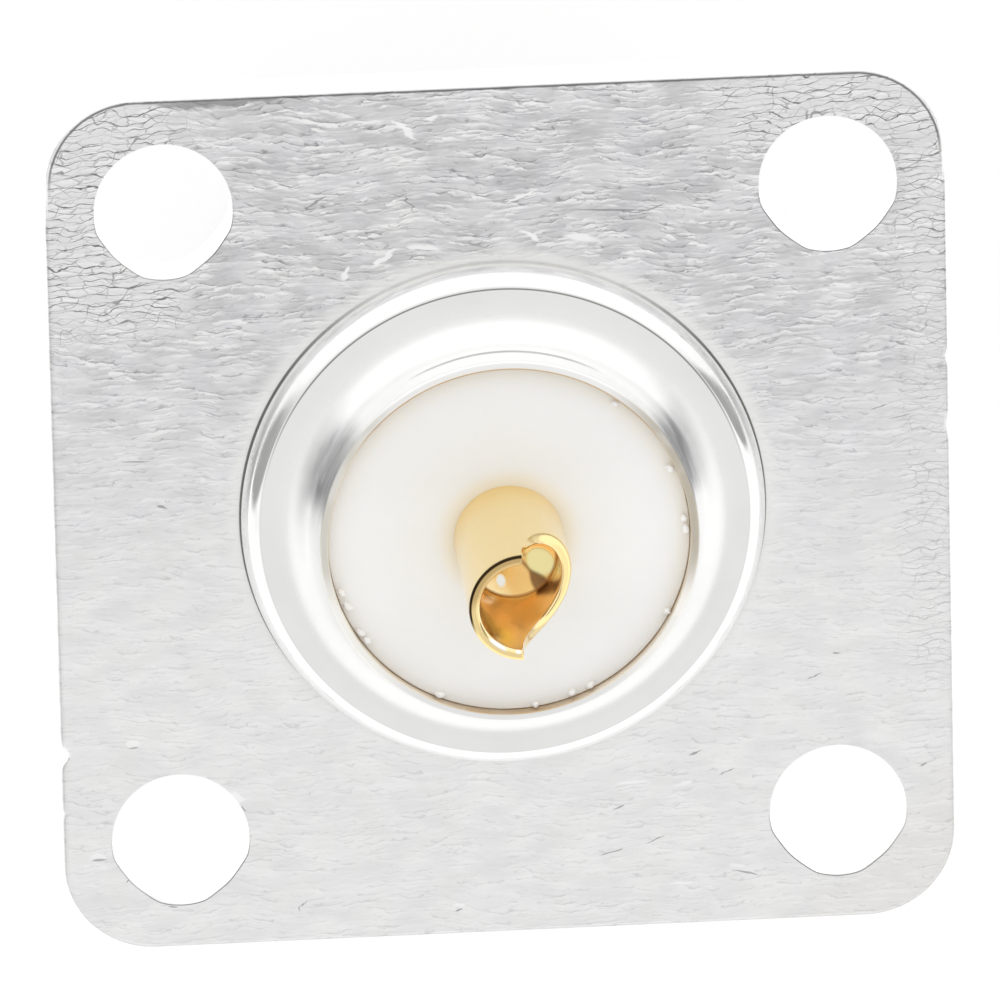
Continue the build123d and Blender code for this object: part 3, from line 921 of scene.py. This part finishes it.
def make_plate(material):
    """Stamped plate: uneven back, rolled outer edge, plain front, clean screw holes."""
    edge = 0.14
    front = 0.1
    bm = bmesh.new()
    place = PLATE_HALF - HOLE_INSET
    centres = [(sx * place, sy * place) for sx in (-1, 1) for sy in (-1, 1)]
    outer = rounded_square(PLATE_HALF, CORNER_R, 22)

    def ring(loop, height, inset):
        """A copy of the outer loop, moved in by the inset, at a height."""
        made = []
        for point in loop:
            core = Vector((
                max(-PLATE_HALF + CORNER_R, min(PLATE_HALF - CORNER_R, point.x)),
                max(-PLATE_HALF + CORNER_R, min(PLATE_HALF - CORNER_R, point.y)),
            ))
            out = (point - core).normalized()
            made.append(point - out * (inset + nick(point)))
        return [(p.x, p.y, height) for p in made]

    levels = []
    for k in range(6):
        angle = math.radians(90 - 90 * k / 5)
        levels.append((PLATE_BACK - edge + edge * math.sin(angle), edge - edge * math.cos(angle)))
    levels += [(front * 1.2, 0.0), (front, 0.0), (0.0, front)]
    rows = [ring(outer, height, inset) for height, inset in levels]
    holes = [(c, HOLE_R, 96, True) for c in centres] + [((0, 0), PLATE_HOLE_R, 180, False)]
    first = [Vector(p[:2]) for p in rows[0]]
    last = [Vector(p[:2]) for p in rows[-1]]
    for loop, top, spacing in ((first, True, 0.17), (last, False, 0.8)):
        verts, faces = sheet_triangles(loop, holes, spacing, 7)
        made = []
        for v in verts:
            height = PLATE_BACK - relief(v.x, v.y) if top else 0.0
            made.append(bm.verts.new((v.x * MM, v.y * MM, height * MM)))
        for face in faces:
            bm.faces.new([made[v] for v in face])
    made_rows = []
    for k, row in enumerate(rows):
        made = []
        for p in row:
            sink = relief(p[0], p[1]) if k == 0 else 0.0
            made.append(bm.verts.new((p[0] * MM, p[1] * MM, (p[2] - sink) * MM)))
        made_rows.append(made)
    skin(bm, made_rows, closed=False)
    for hole in holes:
        made_rows = [[], []]
        for p in hole_loop(*hole):
            for row, height in zip(made_rows, (PLATE_BACK - relief(p.x, p.y), 0.0)):
                row.append(bm.verts.new((p.x * MM, p.y * MM, height * MM)))
        skin(bm, made_rows, closed=False)
    return finish_piece(mesh_from(bm, "plate"), "dull_plate", "flange_plate", material, 38)


# Rubbed and cut marks on the plate's back: across and down from the middle as in the photo,
# length and width in millimetres, and the slope in degrees
BRIGHT_MARKS = [
    (-4.21, -7.09, 0.52, 0.20, 65),
    (-2.48, -11.20, 1.05, 0.15, -40),
    (-1.70, -11.47, 0.55, 0.16, 21),
    (-2.00, -7.77, 1.05, 0.19, -10),
    (-3.12, -7.50, 1.00, 0.17, 35),
    (0.94, -7.96, 0.70, 0.19, -34),
    (2.30, -7.87, 1.05, 0.19, -10),
    (0.72, -9.09, 0.95, 0.11, 28),
    (11.25, -7.10, 0.55, 0.20, -30),
    (-7.58, 8.08, 0.40, 0.26, -50),
]
SOFT_MARKS = [
    (-10.43, 6.36, 0.40, 0.20, 0),
    (-11.50, 9.62, 0.55, 0.14, 0),
    (-1.45, 11.55, 0.36, 0.16, 12),
    (3.42, 8.15, 0.95, 0.13, 0),
    (4.86, 8.25, 0.65, 0.12, 0),
    (4.76, 11.20, 0.80, 0.11, 0),
    (6.30, 10.72, 0.60, 0.15, -10),
]
DARK_MARKS = [
    (-4.93, -9.20, 0.80, 0.070, 27),
    (-2.35, -9.02, 0.62, 0.070, -58),
    (3.30, -8.60, 2.30, 0.050, -3),
    (4.35, -8.62, 0.55, 0.060, 25),
    (-9.37, -0.55, 0.34, 0.060, -20),
    (-10.1, -1.90, 0.75, 0.050, -2),
    (-10.42, 6.47, 0.40, 0.055, 4),
    (-7.44, 8.38, 0.26, 0.055, -60),
    (-11.50, 9.72, 0.40, 0.080, 0),
    (-10.62, 10.35, 0.30, 0.055, 35),
    (-9.40, 11.20, 0.36, 0.060, -5),
    (3.00, 8.86, 0.45, 0.055, 18),
    (2.83, 10.17, 0.75, 0.045, 16),
    (4.03, 9.86, 0.50, 0.045, 28),
    (6.55, 10.96, 0.70, 0.060, -15),
    (11.55, 8.00, 0.30, 0.060, 20),
    (-1.50, 11.68, 0.30, 0.060, 15),
    (-5.85, 11.35, 0.36, 0.050, 60),
    (11.10, -4.38, 0.55, 0.060, -16),
    (9.20, 4.60, 0.28, 0.060, 0),
    (8.55, 5.25, 0.48, 0.045, 25),
    (5.20, 7.35, 0.46, 0.050, 20),
    (6.05, 7.95, 0.62, 0.045, 18),
    (10.45, -2.55, 0.55, 0.045, 16),
    (11.05, -2.25, 0.60, 0.045, 12),
]


def flakes(g, u, w, across, down):
    """Scales of plating along the sheet: masks for the painted light on the upper part and the painted shade along the
    lower edge of each.
    """
    spot = g.join(g.math("MULTIPLY", u, across), g.math("MULTIPLY", w, down), 0.0)
    near = g.add("ShaderNodeTexVoronoi", {"Vector": spot, "Scale": 1.0}, voronoi_dimensions="2D")
    gap = g.add(
        "ShaderNodeTexVoronoi", {"Vector": spot, "Scale": 1.0},
        voronoi_dimensions="2D", feature="DISTANCE_TO_EDGE",
    )
    drop = g.math("SUBTRACT", g.split(spot)[1], g.split(near.outputs["Position"])[1])
    line = g.math("MULTIPLY", g.smooth(gap.outputs["Distance"], 0.0, 0.32, 1.0, 0.0), g.smooth(drop, 0.05, 0.42))
    rise = g.smooth(drop, 0.15, -0.4)
    chance = g.split(near.outputs["Color"])[0]
    return line, rise, chance, gap.outputs["Distance"]


def wavy_lines(g, u, w, lean, turns, sway, width):
    """Thin broken lines that run along the sheet."""
    field = g.math("MULTIPLY_ADD", w, turns, g.math("MULTIPLY_ADD", u, lean, sway))
    off = g.math("ABSOLUTE", g.math("SUBTRACT", g.math("FRACT", field), 0.5))
    return g.smooth(off, width * 0.4, width, 1.0, 0.0)


def plate_material():
    """Dull silver plating, finely wrinkled along the sheet and cracked at two corners, with painted light and shade on
    the wrinkles, painted shade over the top part, painted shadows round the boss and along the holes' rims, and painted
    light round the boss and on some walls.
    """
    material, g, shader = new_material("plate_metal")
    place = place_mm(g)
    x, y, z = g.split(place)
    u = g.math("MULTIPLY", x, -1.0)
    flat = g.join(u, y, 0.0)

    def cloud(scale, across=1.0, down=1.0, detail=1.0):
        spot = g.vector("MULTIPLY", flat, (across, down, 1.0))
        node = g.add("ShaderNodeTexNoise", {"Vector": spot, "Scale": scale, "Detail": detail}, noise_dimensions="2D")
        return node.outputs["Fac"]

    wide = cloud(0.30, detail=1.0)
    rough_cloud = cloud(1.0, 0.9, 2.6, 2.0)
    jag = cloud(1.0, 2.0, 5.0, 2.0)
    w = g.math("MULTIPLY_ADD", wide, 0.7, y)
    top_part = g.smooth(y, -8.0, 2.0, 1.0, 0.0)

    # Wrinkles in two sizes, with painted light on their upper parts and painted shade along their lower edges
    jagged = g.math("MULTIPLY_ADD", jag, 0.16, w)
    large_line, large_rise, large_chance, large_gap = flakes(g, g.math("MULTIPLY_ADD", jag, 0.25, u), jagged, 1.70, 6.6)
    small_line, small_rise, small_chance, _ = flakes(g, g.math("MULTIPLY_ADD", jag, -0.3, u), jagged, 3.2, 12.0)
    depth = g.math("MULTIPLY_ADD", top_part, 0.58, 0.40)
    depth = g.math("MULTIPLY", depth, g.smooth(rough_cloud, 0.33, 0.62, 0.35, 1.3))
    large_line = g.math("MULTIPLY", large_line, g.smooth(large_chance, 0.25, 0.75))
    small_line = g.math("MULTIPLY", small_line, g.smooth(small_chance, 0.35, 0.95, 0.0, 0.85))
    lines = g.math("MAXIMUM", large_line, small_line)
    dashes = g.math("MULTIPLY", small_line, g.smooth(small_chance, 0.93, 0.96, 0.0, 0.55))
    light = g.math("MULTIPLY", large_rise, g.smooth(large_chance, 0.9, 0.4, 0.2, 1.0))
    light = g.math("MAXIMUM", light, g.math("MULTIPLY", small_rise, g.smooth(small_chance, 0.5, 0.9, 0.1, 0.9)))
    light = g.math("MULTIPLY", g.math("MULTIPLY", light, g.math("SUBTRACT", 1.0, lines)), depth)
    dark = g.math("MAXIMUM", g.math("MULTIPLY", lines, depth), dashes)

    # Distances to the plate's outline, its screw holes and the boss
    au, aw = g.math("ABSOLUTE", u), g.math("ABSOLUTE", y)
    qu = g.math("SUBTRACT", au, PLATE_HALF - CORNER_R)
    qw = g.math("SUBTRACT", aw, PLATE_HALF - CORNER_R)
    outside = g.join(g.math("MAXIMUM", qu, 0.0), g.math("MAXIMUM", qw, 0.0), 0.0)
    outside = g.vector("LENGTH", outside, (0, 0, 0), "Value")
    inside = g.math("MINIMUM", g.math("MAXIMUM", qu, qw), 0.0)
    inset = g.math("SUBTRACT", CORNER_R, g.math("ADD", outside, inside))
    hole_place = PLATE_HALF - HOLE_INSET
    hu = g.math("SUBTRACT", au, hole_place)
    hw = g.math("SUBTRACT", aw, hole_place)
    hole = g.vector("LENGTH", g.join(hu, hw, 0.0), (0, 0, 0), "Value")
    below_hole = g.math("MULTIPLY", hw, g.math("SIGN", y))
    down = g.math("DIVIDE", below_hole, hole)
    slant = g.math("MULTIPLY", g.math("DIVIDE", g.math("ABSOLUTE", hu), hole), down)
    rim = g.math("MULTIPLY_ADD", g.math("MAXIMUM", down, 0.0), RIM_SAG, HOLE_R + RIM_BREAK)
    rim = g.math("MULTIPLY_ADD", g.smooth(slant, FLAT_FROM, 0.5), -RIM_FLAT, rim)
    shift = g.math("MULTIPLY", g.math("MINIMUM", down, 0.0), g.math("GREATER_THAN", y, 0.0))
    from_rim = g.math("SUBTRACT", hole, g.math("MULTIPLY_ADD", shift, RIM_SHIFT, rim))
    boss = g.vector("LENGTH", g.join(u, y, 0.0), (0, 0, 0), "Value")

    # Cracked plating at two corners and along one side
    bend = cloud(0.9, detail=1.5)
    level_lines = wavy_lines(g, u, y, 0.12, 4.4, g.math("MULTIPLY_ADD", bend, 2.6, g.math("MULTIPLY", jag, 0.6)), 0.080)
    slant_lines = wavy_lines(g, u, y, 0.8, 1.9, g.math("MULTIPLY", bend, -2.9), 0.035)
    left_corner = g.math("MULTIPLY", g.smooth(u, -9.4, -7.4, 1.0, 0.0), g.smooth(y, -6.6, -4.6, 1.0, 0.0))
    right_corner = g.math("MULTIPLY", g.smooth(u, 4.6, 7.4), g.smooth(y, -10.9, -9.6, 1.0, 0.0))
    right_edge = g.math("MULTIPLY", g.smooth(u, 10.2, 11.6), g.smooth(y, -7.5, -4.5, 0.9, 0.4))
    right_edge = g.math("MULTIPLY", right_edge, g.smooth(y, 4.0, 7.0, 1.0, 0.0))
    corners = g.math("MAXIMUM", g.math("MAXIMUM", left_corner, right_corner), right_edge)
    net = g.smooth(g.math("MULTIPLY_ADD", jag, 0.05, large_gap), 0.035, 0.10, 0.45, 0.0)
    crack = g.math("MAXIMUM", g.math("MAXIMUM", level_lines, net), g.math("MULTIPLY", slant_lines, 0.7))
    crack = g.math("MULTIPLY", crack, g.math("MULTIPLY", corners, g.smooth(rough_cloud, 0.36, 0.54, 0.30, 0.84)))

    # Dark lines along the top edge, and painted shadow under the holes and round the boss
    band_width = g.math("MULTIPLY", g.smooth(u, -10.6, -8.6), g.smooth(u, -3.5, -8.0, 0.06, 0.40))
    ragged = g.math("MULTIPLY_ADD", jag, 0.24, inset)
    band = g.smooth(g.math("SUBTRACT", ragged, band_width), 0.0, 0.14, 0.5, 0.0)
    rim_line = g.smooth(g.math("MULTIPLY_ADD", jag, 0.05, inset), 0.175, 0.215, 0.78, 0.0)
    edge = g.math("MULTIPLY", g.math("MAXIMUM", band, rim_line), g.smooth(inset, 0.09, 0.13))
    edge = g.math("MULTIPLY", edge, g.smooth(y, -10.6, -9.4, 1.0, 0.0))
    hem = g.math("MULTIPLY", g.band(inset, 0.1, 0.03, 0.03), g.smooth(y, -9.4, -8.4, 0.0, 0.04))
    edge = g.math("MAXIMUM", edge, hem)
    # Painted shadow: a thin broken dark line on the +y side of each screw hole's rim.
    hole_rim_shadow = g.math("MULTIPLY", g.smooth(from_rim, 0.022, 0.048, 1.0, 0.0), g.smooth(below_hole, -0.2, 1.0))
    hole_rim_shadow = g.math("MULTIPLY", hole_rim_shadow, g.smooth(wide, 0.35, 0.55, 0.5, 0.85))
    sides = g.smooth(au, 3.0, 6.3, 0.12, 0.85)
    # Painted shadow: a dark ring on the plate where it meets the boss, strongest at the sides.
    boss_shadow = g.math("MULTIPLY", g.smooth(boss, HEAD_R + 0.03, HEAD_R + 0.06, 1.0, 0.0), g.math("MULTIPLY", sides, g.smooth(y, 4.8, 6.4, 1.0, 0.2)))
    # Painted light: a near-white band on the plate round the boss, stronger towards -y, standing for the bead's
    # reflection.
    halo_reach = g.math("MULTIPLY_ADD", rough_cloud, 0.16, boss)
    halo = g.math("MULTIPLY", g.smooth(halo_reach, HEAD_R + 0.10, HEAD_R + 0.62, 1.0, 0.0), g.smooth(y, -2.0, 7.0, 1.0, 0.3))

    # Colour of the back face, then of the walls
    # Painted shade: the back grows darker towards -y, the plate's top part.
    tone = g.mix(g.smooth(y, -9.0, 5.0, 1.0, 0.0), (0.905, 0.905, 0.90, 1), (0.71, 0.71, 0.715, 1))
    cool = g.math("MULTIPLY", g.smooth(bend, 0.42, 0.62), 0.5)
    tone = g.mix(cool, tone, g.vector("MULTIPLY", tone, (0.965, 0.965, 1.0)))
    shade = g.smooth(cloud(1.0, 0.7, 1.7, 3.0), 0.32, 0.68, g.math("MULTIPLY_ADD", top_part, -0.10, 0.97), g.math("MULTIPLY_ADD", top_part, 0.08, 1.02))
    tone = g.vector("MULTIPLY", tone, g.join(shade, shade, shade))
    tone = g.mix(g.math("MULTIPLY", corners, 0.75), tone, (0.92, 0.92, 0.92, 1))
    warm = g.smooth(g.math("ADD", u, y), 18.8, 22.0, 0.0, 0.5)
    tone = g.mix(warm, tone, (0.86, 0.84, 0.80, 1))
    # Painted light on the upper parts of the flakes.
    tone = g.mix(g.math("MULTIPLY", light, 0.80), tone, (0.97, 0.97, 0.965, 1))
    # Painted shade along the lower edges of the flakes, with sparse dark dashes.
    dark = g.math("MULTIPLY", dark, g.math("MULTIPLY_ADD", corners, -0.65, 1.0))
    tone = g.mix(g.math("MULTIPLY", dark, 0.48), tone, (0.22, 0.22, 0.24, 1))
    torn_u = g.math("MULTIPLY_ADD", jag, 0.40, g.math("SUBTRACT", u, 0.20))
    torn_w = g.math("MULTIPLY_ADD", rough_cloud, 0.30, g.math("SUBTRACT", y, 0.15))
    bright = marks_mask(g, torn_u, torn_w, BRIGHT_MARKS)
    bright = g.math("MAXIMUM", bright, g.math("MULTIPLY", marks_mask(g, torn_u, torn_w, SOFT_MARKS), 0.8))
    tone = g.mix(bright, tone, WHITE)
    tone = g.mix(g.math("MULTIPLY", halo, 0.85), tone, (1.0, 0.995, 0.97, 1))
    cuts = g.math("MULTIPLY", marks_mask(g, torn_u, y, DARK_MARKS), 0.5)
    lines_all = g.math("MAXIMUM", g.math("MAXIMUM", cuts, crack), g.math("MAXIMUM", edge, hole_rim_shadow))
    lines_all = g.math("MAXIMUM", lines_all, boss_shadow)
    # Dark cut marks, cracks and top-edge lines, with the painted shadows round the boss and along the holes' rims.
    tone = g.mix(lines_all, tone, (0.07, 0.07, 0.07, 1))
    rolled = g.smooth(inset, 0.12, 0.03, 1.0, 0.70)
    tone = g.vector("MULTIPLY", tone, g.join(rolled, rolled, rolled))
    wall = g.smooth(z, PLATE_BACK - 0.09, PLATE_BACK - 0.05, 1.0, 0.0)
    bare = g.mix(g.smooth(rough_cloud, 0.35, 0.65), (0.80, 0.80, 0.795, 1), (0.70, 0.70, 0.69, 1))
    tone = g.mix(wall, tone, bare)
    # Painted light: the outer wall along the -y side, the screw holes' walls and the wall at the deepest nick are paler
    # than the other walls.
    pale = g.math("MULTIPLY", g.smooth(inset, 0.08, 0.11, 1.0, 0.0), g.smooth(y, -8.6, -9.8))
    pale = g.math("MULTIPLY", pale, g.smooth(z, 0.04, 0.16))
    bore = g.smooth(from_rim, 0.004, 0.016, 1.0, 0.0)
    nicked = g.math("MULTIPLY", g.band(y, NICKS[0][1], 0.35, 0.15), g.smooth(u, -11.6, -11.8))
    pale = g.math("MAXIMUM", g.math("MAXIMUM", pale, bore), g.math("MULTIPLY", nicked, wall))
    tone = g.mix(pale, tone, (1.0, 1.0, 0.995, 1))
    g.put(shader.inputs["Base Color"], tone)
    g.put(shader.inputs["Metallic"], g.smooth(boss, HEAD_R + 1.4, HEAD_R + 0.3, 1.0, 0.35))
    rough = g.smooth(rough_cloud, 0.3, 0.7, 0.34, 0.46)
    polish = g.math("MULTIPLY", wall, g.math("MULTIPLY_ADD", bore, 0.20, 0.55))
    rough = g.math("MULTIPLY", rough, g.math("SUBTRACT", 1.0, polish))
    g.put(shader.inputs["Roughness"], g.math("MULTIPLY_ADD", dark, 0.2, rough))
    height = g.math("SUBTRACT", g.math("MULTIPLY", large_rise, 0.5), g.math("MULTIPLY", large_line, 0.5))
    g.put(shader.inputs["Normal"], g.bump(height, 0.5, 0.010))
    return material


bpy.context.scene.view_settings.view_transform = "Standard"
make_camera()
make_world()
make_floor()
silver = body_material()
gold = contact_material()
white = insulator_material()
dull = plate_material()
make_plate(dull)
make_body(silver)
make_contact(gold)
make_rear_insulator(white)
make_burrs(white)
front_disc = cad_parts["front_insulator"]
front_disc.data.materials.clear()
front_disc.data.materials.append(white)
